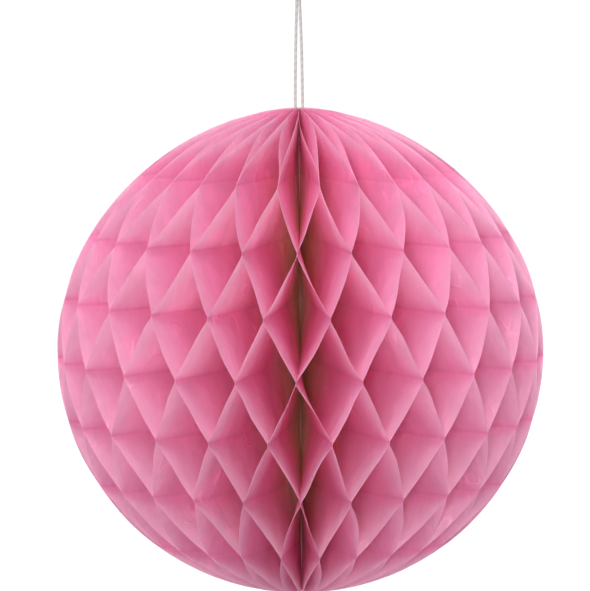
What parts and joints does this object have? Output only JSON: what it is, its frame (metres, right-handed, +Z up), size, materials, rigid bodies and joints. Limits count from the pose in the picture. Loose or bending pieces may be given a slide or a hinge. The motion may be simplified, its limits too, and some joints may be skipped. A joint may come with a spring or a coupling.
{
  "type": "honeycomb paper ball",
  "caption": "Round hanging ball of fanned honeycomb tissue with diamond cells, two cover cards closing it at the back, and a doubled string with a knotted loop on top.",
  "frame": {"origin": "the underside of the string loop's top, where a hook bears, on the ball's axis", "axes": "+Z up along the string and the ball's axis, +Y towards the seam with the cover cards, -Y towards the side that the picture shows"},
  "size_m": [0.2, 0.2, 0.2688],
  "materials": {
    "pink_tissue": "thin smooth tissue that light passes through",
    "pink_card": "smooth uncoated card",
    "white_cotton": "twisted thread"
  },
  "bodies": {
    "root": {"honeycomb_tissue": "pink_tissue", "cover_card_left": "pink_card", "cover_card_right": "pink_card", "hanging_string": "white_cotton", "string_knot": "white_cotton"}
  },
  "joints": []
}
